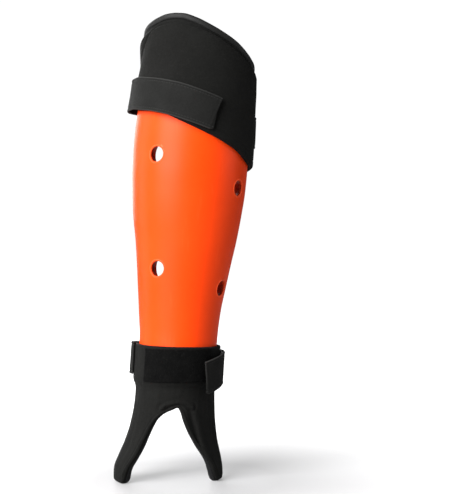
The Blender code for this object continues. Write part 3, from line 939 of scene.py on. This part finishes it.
def makeRibbon(name, route, width, inner, outer, first, last, ringPoints, bump):
    # a closed band along a strap's route with soft edges; bump gives extra height over its faces
    sizes, places = strapSizes, route.evenly(first, last)
    middle, half = (inner + outer) / 2, (outer - inner) / 2

    def placeAt(column, row, c, s):
        angle, run = places[column]
        free, back = places[-1][1] - run, run - places[0][1]
        if route.end < route.sewn:
            free, back = back, free
        # round corners at the free end, and both ends closed softly
        corner = sizes["cornerRound"]
        trim = corner - math.sqrt(max(0.0, corner ** 2 - (corner - free) ** 2)) if free < corner else 0.0
        side = width / 2 - trim * sizes["cornerShare"]
        across = squarish(c, sizes["acrossPower"]) * side
        thin = max(sizes["endLeast"], min(roundedEdge(free, sizes["endRound"]), roundedEdge(back, sizes["endRound"])))
        thick = squarish(s, sizes["outPower"]) * half * thin
        extra = bump(run, across, side, free) * (1 if s > 0 else -1) * blend(0.0, 0.5, abs(s))
        return route.across(angle, across, middle + thick + extra), (run, across)

    band = rolledBand(name, len(places), ringPoints, placeAt)
    smoothFaces(band, 50)
    return band


def strapBump(run, across, side, free):
    # a raised edge, rows of stitches sunk in beside it and a slow wave
    edge = side - abs(across)
    lift = ridge(edge, *strapSizes["edgeBead"]) + ridge(edge, *strapSizes["sideStitch"])
    if free > strapSizes["endPlain"]:
        lift += ridge(free, *strapSizes["endStitch"])
    long, wide = strapSizes["waveSize"]
    return lift + strapSizes["wave"] * noise.noise(Vector((run / long, across / wide, 4.0)))


def hookBump(run, across, side, free):
    pitch = strapSizes["hookPitch"]
    return strapSizes["hookRelief"] * noise.noise(Vector((run / pitch, across / pitch, 9.0)))


def makeStrap(name, route):
    half = strapSizes["thickness"] / 2
    return makeRibbon(name, route, strapSizes["width"], -half, half, route.sewn, route.end,
                      strapSizes["ringPoints"], strapBump)


def makeHook(name, route):
    top = strapSizes["hookSink"] - strapSizes["thickness"] / 2
    foot = top - strapSizes["hookBed"] - strapSizes["hookThickness"]
    return makeRibbon(name, route, strapSizes["width"] - 2 * strapSizes["hookInset"], foot, top,
                      route.hookStart, route.hookEnd, strapSizes["hookPoints"], hookBump)


# The brushed loop patch in front of the ankle
patchSizes = {
    "columns": 150,
    "rows": 70,
    "height": 0.0280,
    "middle": 0.1010,
    "angles": (-58.5, 37.0),
    "thickness": 0.0012,
    "bedShare": 0.4,          # of the gap between layers
    "least": 0.0002,
    "edgeRound": 0.0012,
    "edgeStart": 0.0002,
    "fray": 0.0003,
    "frayScale": (40, 12),
    "fuzz": 0.00022,
    "fuzzSizes": (0.0011, 0.0024),
    "scuffSize": 0.006,
}


def makeLoopPatch():
    sizes = patchSizes
    low, high = sizes["angles"]

    def place(across, share):
        scaleX, scaleY = sizes["frayScale"]
        fray = sizes["fray"] * noise.noise(Vector((across * scaleX, share * scaleY, 1.0)))
        return (low + high) / 2 + across * (high - low) / 2, sizes["middle"] + (share - 0.5) * sizes["height"] + fray

    def seat(angle, height):
        return coverSeat(angle, height) + layers["ankleThickness"] + layers["gap"] * sizes["bedShare"]

    def outer(angle, height):
        side = arcLength(min(angle - low, high - angle), height)
        edge = min(side, sizes["height"] / 2 - abs(height - sizes["middle"])) + sizes["edgeStart"]
        return seat(angle, height) + sizes["least"] + sizes["thickness"] * roundedEdge(edge, sizes["edgeRound"])

    def detail(angle, height):
        spot = Vector((math.radians(angle) * legForm["patternRadius"], height, 0.0))
        fine, coarse = sizes["fuzzSizes"]
        scuff = blend(0.1, 0.5, noise.noise(spot / sizes["scuffSize"] + Vector((3, 1, 4))))
        return sizes["fuzz"] * (noise.noise(spot / fine) + scuff * noise.noise(spot / coarse + Vector((7, 7, 7))))

    pad = paddedPatch("loopPatch", sizes["columns"], sizes["rows"], place, seat, outer)
    dress(pad, 0, detail)
    smoothFaces(pad, 80)
    return pad


# Small blank sewn-in label at the inner low-side edge
labelSizes = {
    "columns": 16,
    "rows": 30,
    "width": 0.0050,
    "length": 0.0150,
    "thickness": 0.00045,
    "seat": 0.0006,
    "height": 0.1690,
    "gap": 0.0012,
    "curl": 0.0009,
    "ripple": 0.0002,
    "rippleTurns": 900,       # radians to the metre
}


def makeLabel():
    sizes = labelSizes
    edge = bindingSide(sizes["height"], sizes["gap"])
    wide = arcDegrees(sizes["width"], sizes["height"])

    def place(across, share):
        return edge - wide * (1 - across) / 2, sizes["height"] + (share - 0.5) * sizes["length"]

    def inner(angle, height):
        free = (edge - angle) / wide
        lift = sizes["curl"] * free * free + sizes["ripple"] * math.sin(height * sizes["rippleTurns"]) * free
        return linerInside - layers["gap"] - sizes["seat"] - lift

    def outer(angle, height):
        return inner(angle, height) + sizes["thickness"]

    label = paddedPatch("seamLabel", sizes["columns"], sizes["rows"], place, inner, outer)
    dress(label)
    smoothFaces(label, 50)
    return label


# Finishes. The pattern map on each piece has 0.1 m to the unit, so 100 threads there are 1 mm apart.
def addNode(tree, kind, inputs=None, **settings):
    node = tree.nodes.new("ShaderNode" + kind)
    for key, value in settings.items():
        setattr(node, key, value)
    for key, value in (inputs or {}).items():
        if isinstance(value, bpy.types.NodeSocket):
            tree.links.new(value, node.inputs[key])
        else:
            node.inputs[key].default_value = value
    return node


def calc(tree, operation, *values):
    return addNode(tree, "Math", dict(enumerate(values)), operation=operation).outputs[0]


def times(tree, product, *factors):
    for factor in factors:
        product = calc(tree, "MULTIPLY", product, factor)
    return product


def wave(tree, *factors):
    return calc(tree, "SINE", times(tree, *factors, math.pi))


def spread(tree, value, low, high, toLow=0.0, toHigh=1.0):
    inputs = {"Value": value, "From Min": low, "From Max": high, "To Min": toLow, "To Max": toHigh}
    return addNode(tree, "MapRange", inputs).outputs["Result"]


def grain(tree, vector, scale, detail=2.0, stretch=None, roughness=0.5):
    # noise from 0 to 1, its vector stretched first
    if stretch:
        vector = addNode(tree, "Mapping", {"Vector": vector, "Scale": stretch}).outputs[0]
    inputs = {"Vector": vector, "Scale": scale, "Detail": detail, "Roughness": roughness}
    return addNode(tree, "TexNoise", inputs).outputs["Fac"]


def newGroup(name, inputs, outputs):
    group = bpy.data.node_groups.new(name, "ShaderNodeTree")
    for label, value in inputs.items():
        kind = "Vector" if value is None else "Float"
        socket = group.interface.new_socket(name=label, in_out="INPUT", socket_type="NodeSocket" + kind)
        if value is not None:
            socket.default_value = value
    for label in outputs:
        group.interface.new_socket(name=label, in_out="OUTPUT", socket_type="NodeSocketFloat")
    return group, group.nodes.new("NodeGroupInput").outputs, group.nodes.new("NodeGroupOutput").inputs


def makeClothWeave():
    group, given, result = newGroup("clothWeave", {"Vector": None, "Threads": 100.0, "Loose": 0.3}, ("Height",))
    threads = {0: given["Vector"], "Scale": given["Threads"]}
    place = addNode(group, "VectorMath", threads, operation="SCALE").outputs[0]
    shift = times(group, grain(group, given["Vector"], 60.0), given["Loose"])
    warp, weft = (wave(group, calc(group, "ADD", part, shift))
                  for part in addNode(group, "SeparateXYZ", {0: place}).outputs[:2])
    over = calc(group, "GREATER_THAN", times(group, warp, weft), 0.0)
    high = times(group, calc(group, "ABSOLUTE", warp), over)
    low = times(group, calc(group, "ABSOLUTE", weft), calc(group, "SUBTRACT", 1.0, over))
    group.links.new(calc(group, "ADD", high, low), result["Height"])
    return group


def makeWebbingRibs():
    group, given, result = newGroup("webbingRibs", {"Vector": None, "Cords": 90.0, "Picks": 60.0}, ("Height",))
    x, y = addNode(group, "SeparateXYZ", {0: given["Vector"]}).outputs[:2]
    cords = calc(group, "ABSOLUTE", wave(group, y, given["Cords"]))
    picks = calc(group, "ABSOLUTE", wave(group, x, given["Picks"]))
    both = calc(group, "ADD", times(group, cords, 0.45), times(group, picks, 0.55))
    group.links.new(calc(group, "POWER", both, 0.7), result["Height"])
    return group


def makeUnevenTone():
    # slow clouds with finer dust in them
    group, given, result = newGroup("unevenTone", {"Vector": None, "Size": 30.0, "Dust": 0.4}, ("Tone",))
    slow = grain(group, given["Vector"], given["Size"], 3.0)
    fine = grain(group, given["Vector"], times(group, given["Size"], 14.0))
    rest = calc(group, "SUBTRACT", 1.0, given["Dust"])
    mixed = calc(group, "ADD", times(group, fine, given["Dust"]), times(group, slow, rest))
    group.links.new(spread(group, mixed, 0.3, 0.7), result["Tone"])
    return group


def makeEdgeHighlight():
    # painted highlight where a surface turns outwards sharply, broken up a little
    inputs = {"Vector": None, "Start": 0.54, "Full": 0.66, "Breakup": 0.5}
    group, given, result = newGroup("edgeHighlight", inputs, ("Highlit",))
    edge = spread(group, addNode(group, "NewGeometry").outputs["Pointiness"], given["Start"], given["Full"])
    patchy = times(group, grain(group, given["Vector"], 260.0, 3.0), given["Breakup"])
    group.links.new(times(group, edge, calc(group, "SUBTRACT", 1.0, patchy)), result["Highlit"])
    return group


def makeFibres():
    # brushed loops and loose hairs
    group, given, result = newGroup("fibres", {"Vector": None, "Fineness": 300.0}, ("Height", "Lint"))
    bent = addNode(group, "TexNoise", {"Vector": given["Vector"], "Scale": 40.0}).outputs["Color"]
    shift = addNode(group, "VectorMath", {0: bent, "Scale": 0.05}, operation="SCALE").outputs[0]
    place = addNode(group, "VectorMath", {0: given["Vector"], 1: shift}).outputs[0]
    hairs = grain(group, place, given["Fineness"], 1.0, (1.0, 0.18, 1.0))
    group.links.new(grain(group, place, given["Fineness"], roughness=0.7), result["Height"])
    group.links.new(spread(group, hairs, 0.60, 0.72), result["Lint"])
    return group


def makeStitchRow():
    # thread over a line at Across = Place, with the cloth drawn in beside it
    inputs = {"Along": 0.0, "Across": 0.0, "Place": 0.0, "Pitch": 33.0, "Width": 0.004}
    group, given, result = newGroup("stitchRow", inputs, ("Thread", "Height"))
    off = calc(group, "ABSOLUTE", calc(group, "SUBTRACT", given["Across"], given["Place"]))
    near = spread(group, off, 0.0, given["Width"], 1.0, 0.0)
    thread = times(group, near, spread(group, wave(group, given["Along"], given["Pitch"], 2.0), -0.55, -0.15))
    drawn = spread(group, off, 0.0, times(group, given["Width"], 3.0), -0.8, 0.0)
    group.links.new(thread, result["Thread"])
    group.links.new(calc(group, "ADD", times(group, thread, 1.5), drawn), result["Height"])
    return group


groups = {
    "weave": makeClothWeave(),
    "ribs": makeWebbingRibs(),
    "tone": makeUnevenTone(),
    "highlight": makeEdgeHighlight(),
    "fibres": makeFibres(),
    "stitch": makeStitchRow(),
}


class Finish:
    # one material, with short ways to its nodes
    def __init__(self, name, specular, sheen=(0.0, 0.5)):
        self.material = bpy.data.materials.new(name)
        self.material.use_nodes = True
        self.tree = self.material.node_tree
        self.shader = self.tree.nodes["Principled BSDF"]
        for label, value in zip(("Specular IOR Level", "Sheen Weight", "Sheen Roughness"), (specular, *sheen)):
            self.shader.inputs[label].default_value = value
        self.place = addNode(self.tree, "TexCoord").outputs["Object"]
        self.pattern = addNode(self.tree, "UVMap", uv_map="pattern").outputs["UV"]

    def group(self, key, **inputs):
        return addNode(self.tree, "Group", inputs, node_tree=groups[key]).outputs

    def relief(self, key, **inputs):
        return self.group(key, Vector=self.pattern, **inputs)["Height"]

    def tone(self, size, dust):
        return self.group("tone", Vector=self.place, Size=size, Dust=dust)["Tone"]

    def mix(self, amount, first, second):
        inputs = {0: amount}
        for socket, value in ((6, first), (7, second)):
            inputs[socket] = value if isinstance(value, bpy.types.NodeSocket) else (*value, 1)
        return addNode(self.tree, "Mix", inputs, data_type="RGBA").outputs[2]

    def sum(self, first, second, share):
        return calc(self.tree, "ADD", times(self.tree, first, share), times(self.tree, second, 1 - share))

    def paint(self, tone, dark, light, *coats):
        # a base that varies with the tone, then coats over it: a mask, its share and a colour
        colour = self.mix(tone, dark, light)
        for mask, share, coat in coats:
            colour = self.mix(times(self.tree, mask, share), colour, coat)
        self.tree.links.new(colour, self.shader.inputs["Base Color"])

    def rough(self, value, low, high):
        self.tree.links.new(spread(self.tree, value, 0.0, 1.0, low, high), self.shader.inputs["Roughness"])

    def bump(self, *reliefs):
        # each is a height, how far it stands in metres, and its strength
        inputs = {}
        for height, distance, strength in reliefs:
            inputs.update({"Height": height, "Distance": distance, "Strength": strength})
            inputs["Normal"] = addNode(self.tree, "Bump", inputs).outputs["Normal"]
        self.tree.links.new(inputs["Normal"], self.shader.inputs["Normal"])
        return self.material


def orangePlastic():
    finish = Finish("orangeShell", 0.12)
    tree, place, tone = finish.tree, finish.place, finish.tone(16.0, 0.15)
    # painted highlight: pale pinkish orange on the sharp rims of the vents and the shell's edges
    paintedHighlight = finish.group("highlight", Vector=place, Start=0.53, Full=0.60, Breakup=0.5)["Highlit"]
    rubs = spread(tree, grain(tree, place, 150.0, 4.0, (1.0, 1.0, 0.09)), 0.62, 0.74)
    # painted shade: where the ambient occlusion node finds the vent walls enclosed, the colour is mixed towards
    # near-black
    ventShadeOcclusion = addNode(tree, "AmbientOcclusion", {"Distance": 0.014}, samples=8, only_local=True).outputs["AO"]
    vents = spread(tree, ventShadeOcclusion, 0.82, 0.50)       # painted shade in the vents
    finish.paint(tone, (0.82, 0.047, 0.0018), (0.88, 0.056, 0.0026), (rubs, 0.10, (1.0, 0.17, 0.04)),
                 (paintedHighlight, 0.42, (1.0, 0.36, 0.17)), (vents, 1.0, (0.085, 0.0035, 0.0006)))
    finish.rough(finish.sum(tone, rubs, 0.5), 0.36, 0.52)
    return finish.bump((grain(tree, place, 620.0), 0.0002, 0.10), (grain(tree, place, 22.0), 0.0006, 0.10))


def coverCloth():
    finish = Finish("charcoalCover", 0.07, (0.01, 0.5))
    tone, weave = finish.tone(34.0, 0.45), finish.relief("weave", Threads=118.0, Loose=0.35)
    lint = finish.group("fibres", Vector=finish.pattern, Fineness=150.0)["Lint"]
    shade = finish.sum(tone, grain(finish.tree, finish.pattern, 60.0, 3.0, (0.25, 1.0, 1.0)), 0.55)
    finish.paint(shade, (0.0034, 0.0034, 0.0031), (0.0072, 0.0072, 0.0066),
                 (weave, 0.35, (0.0088, 0.0088, 0.0082)), (lint, 0.12, (0.03, 0.03, 0.028)))
    finish.rough(shade, 0.92, 0.74)
    return finish.bump((weave, 0.00022, 0.55), (tone, 0.0003, 0.2))


def strapWebbing():
    finish = Finish("strapWebbing", 0.08, (0.012, 0.5))
    tree, tone, ribs = finish.tree, finish.tone(45.0, 0.5), finish.relief("ribs", Cords=85.0, Picks=125.0)
    along, across = addNode(tree, "SeparateXYZ", {0: finish.pattern}).outputs[:2]
    halfStrap = strapSizes["width"] / 2 * legForm["patternScale"]
    fromEdge = calc(tree, "SUBTRACT", halfStrap, calc(tree, "ABSOLUTE", across))
    stitch = finish.group("stitch", Along=along, Across=fromEdge, Place=0.026, Pitch=38.0, Width=0.005)
    # painted highlight: the coat lighter within about a millimetre of both long edges stands in for light on the
    # rolled edges
    finish.paint(tone, (0.0050, 0.0050, 0.0047), (0.0084, 0.0084, 0.0079),
                 (ribs, 0.5, (0.0108, 0.0108, 0.0102)),
                 (spread(tree, fromEdge, 0.012, 0.004), 0.7, (0.030, 0.030, 0.0285)),
                 (stitch["Thread"], 0.8, (0.024, 0.024, 0.023)))
    finish.rough(tone, 0.88, 0.70)
    return finish.bump((ribs, 0.00022, 0.6), (stitch["Height"], 0.0003, 0.7))


def loopTape():
    finish = Finish("loopTape", 0.04, (0.008, 0.6))
    fibres = finish.group("fibres", Vector=finish.pattern, Fineness=120.0)
    tone = finish.group("tone", Vector=finish.pattern, Size=9.0, Dust=0.4)["Tone"]
    finish.paint(tone, (0.0012, 0.0012, 0.0012), (0.0030, 0.0030, 0.0029),
                 (fibres["Lint"], 0.35, (0.014, 0.014, 0.0135)))
    finish.rough(tone, 0.98, 0.88)
    return finish.bump((fibres["Height"], 0.0006, 0.8), (tone, 0.0008, 0.4))


def hookTape():
    finish = Finish("hookTape", 0.25)
    tips = spread(finish.tree, finish.relief("weave", Threads=85.0, Loose=0.08), 0.55, 0.9)
    finish.paint(tips, (0.004, 0.004, 0.004), (0.022, 0.022, 0.022))
    finish.rough(tips, 0.7, 0.42)
    return finish.bump((tips, 0.0005, 0.9))


def bindingTape():
    finish = Finish("bindingTape", 0.16, (0.02, 0.4))
    tone, ribs = finish.tone(60.0, 0.3), finish.relief("ribs", Cords=70.0, Picks=140.0)
    finish.paint(tone, (0.0050, 0.0050, 0.0048), (0.0088, 0.0088, 0.0084), (ribs, 0.4, (0.012, 0.012, 0.0116)))
    finish.rough(tone, 0.62, 0.48)
    return finish.bump((ribs, 0.00016, 0.5), (tone, 0.0003, 0.25))


def linerCloth():
    finish = Finish("linerCloth", 0.14, (0.02, 0.4))
    tone, weave = finish.tone(26.0, 0.3), finish.relief("weave", Threads=165.0, Loose=0.2)
    folds = grain(finish.tree, finish.pattern, 7.0, 2.0, (2.4, 0.5, 1.0))
    finish.paint(tone, (0.0032, 0.0032, 0.0034), (0.0062, 0.0062, 0.0065), (weave, 0.35, (0.0085, 0.0085, 0.0090)))
    finish.rough(folds, 0.50, 0.72)
    return finish.bump((weave, 0.00012, 0.4), (folds, 0.0012, 0.25))


def labelCloth():
    finish = Finish("labelCloth", 0.25)
    tone, weave = finish.tone(150.0, 0.4), finish.relief("weave", Threads=210.0, Loose=0.1)
    finish.paint(tone, (0.52, 0.51, 0.49), (0.66, 0.65, 0.63), (weave, 0.3, (0.66, 0.65, 0.63)))
    finish.rough(tone, 0.9, 0.75)
    return finish.bump((weave, 0.00010, 0.5))


# Floor, light and camera
studio = {
    "azimuth": -12.0,
    "distance": 1.0,
    "eyeHeight": 0.2015,
    "film": 36.0,
    "lens": 83.73,
    "turn": 2.42,                # the guard stands left of the middle of the picture
    "near": 0.01,
    "worldStrength": 0.10,       # light that falls on the guard
    "backdropStrength": 1.02,    # white paper behind it
    "floorSize": 30.0,
    "floorDrop": 0.0002,
    "floorColour": (0.33, 0.33, 0.335, 1),
    "floorRoughness": 0.6,
    "floorGlow": (0.24, 1.02),   # seen by the camera, at the guard and far off
    "floorNear": (0.08, 0.32),   # where the one turns into the other
    "floorBounce": 0.02,         # cast on the guard
    # place, height aimed at, size and watts
    "lights": {
        "keyLight": ((-1.45, -1.05, 1.05), 0.22, (1.5, 1.6), 120),
        "rimLight": ((-1.3, 0.7, 0.6), 0.22, (0.5, 1.4), 8),
        "fillLight": ((1.55, -0.55, 0.8), 0.22, (1.0, 1.3), 8),
        "backLight": ((-0.25, 1.6, 0.85), 0.2, (1.1, 1.3), 20),
    },
}


def glowFor(tree, toCamera, toGuard):
    seen = addNode(tree, "LightPath").outputs["Is Camera Ray"]
    return spread(tree, seen, 0.0, 1.0, toGuard, toCamera)


def makeStage():
    deselectAll()
    bpy.ops.mesh.primitive_plane_add(size=studio["floorSize"], location=(0, 0, -studio["floorDrop"]))
    floor = bpy.context.object
    floor.name = "studioFloor"
    paper = bpy.data.materials.new("studioPaper")
    paper.use_nodes = True
    tree = paper.node_tree
    shader = tree.nodes["Principled BSDF"]
    shader.inputs["Base Color"].default_value = studio["floorColour"]
    shader.inputs["Roughness"].default_value = studio["floorRoughness"]
    shader.inputs["Emission Color"].default_value = (1, 1, 1, 1)
    place = addNode(tree, "TexCoord").outputs["Object"]
    distance = addNode(tree, "VectorMath", {0: place}, operation="LENGTH").outputs["Value"]
    bright = spread(tree, distance, *studio["floorNear"], *studio["floorGlow"])
    tree.links.new(glowFor(tree, bright, studio["floorBounce"]), shader.inputs["Emission Strength"])
    floor.data.materials.append(paper)
    bpy.context.scene.view_settings.view_transform = "Standard"
    world = bpy.data.worlds.new("studioLight")
    bpy.context.scene.world = world
    world.use_nodes = True
    tree = world.node_tree
    background = tree.nodes["Background"]
    background.inputs["Color"].default_value = (1, 1, 1, 1)
    strength = glowFor(tree, studio["backdropStrength"], studio["worldStrength"])
    tree.links.new(strength, background.inputs["Strength"])
    for name, (place, aim, size, watts) in studio["lights"].items():
        deselectAll()
        bpy.ops.object.light_add(type="AREA", location=place)
        light = bpy.context.object
        light.name = name
        light.data.shape = "RECTANGLE"
        light.data.size, light.data.size_y = size
        light.data.energy = watts
        light.rotation_euler = (Vector((0, 0, aim)) - Vector(place)).to_track_quat("-Z", "Y").to_euler()


def makeCamera():
    turn, distance = math.radians(studio["azimuth"]), studio["distance"]
    place = (math.sin(turn) * distance, -math.cos(turn) * distance, studio["eyeHeight"])
    rotation = (math.radians(90), 0, turn - math.radians(studio["turn"]))
    bpy.ops.object.camera_add(location=place, rotation=rotation)
    camera = bpy.context.object
    camera.name = "photoCamera"
    camera.data.sensor_fit = "VERTICAL"
    camera.data.sensor_height = studio["film"]
    camera.data.lens = studio["lens"]
    camera.data.clip_start = studio["near"]
    bpy.context.scene.camera = camera


def finishPad(pad, material, slot, node):
    finishPiece(pad, material, slot, node)


makeStage()
makeCamera()
print("scene: stage, light and camera made")
charcoal, webbing, hooks = coverCloth(), strapWebbing(), hookTape()
finishPiece(makeShell(), orangePlastic(), "shell_plastic", "shin_shell")
print("scene: shell made")
finishPad(makeKneeCover(), charcoal, "cover_cloth", "knee_cover")
print("scene: knee cover made")
finishPad(makeAnkleCover(), charcoal, "cover_cloth", "ankle_cover")
print("scene: ankle cover made")
finishPad(makeLiner(), linerCloth(), "liner_foam", "foam_liner")
print("scene: liner made")
finishPiece(makeBinding(), bindingTape(), "binding_tape", "edge_binding")
print("scene: binding made")
for side, pad in (("upper", layers["kneeThickness"]), ("lower", layers["ankleThickness"])):
    route = StrapRoute(strapSizes[side], pad)
    finishPiece(makeStrap(side + "Strap", route), webbing, "strap_webbing", side + "_strap")
    finishPiece(makeHook(side + "HookTab", route), hooks, "hook_tape", side + "_hook_tab")
print("scene: straps made")
finishPiece(makeLoopPatch(), loopTape(), "loop_tape", "ankle_loop_patch")
finishPiece(makeLabel(), labelCloth(), "label_cloth", "seam_label")
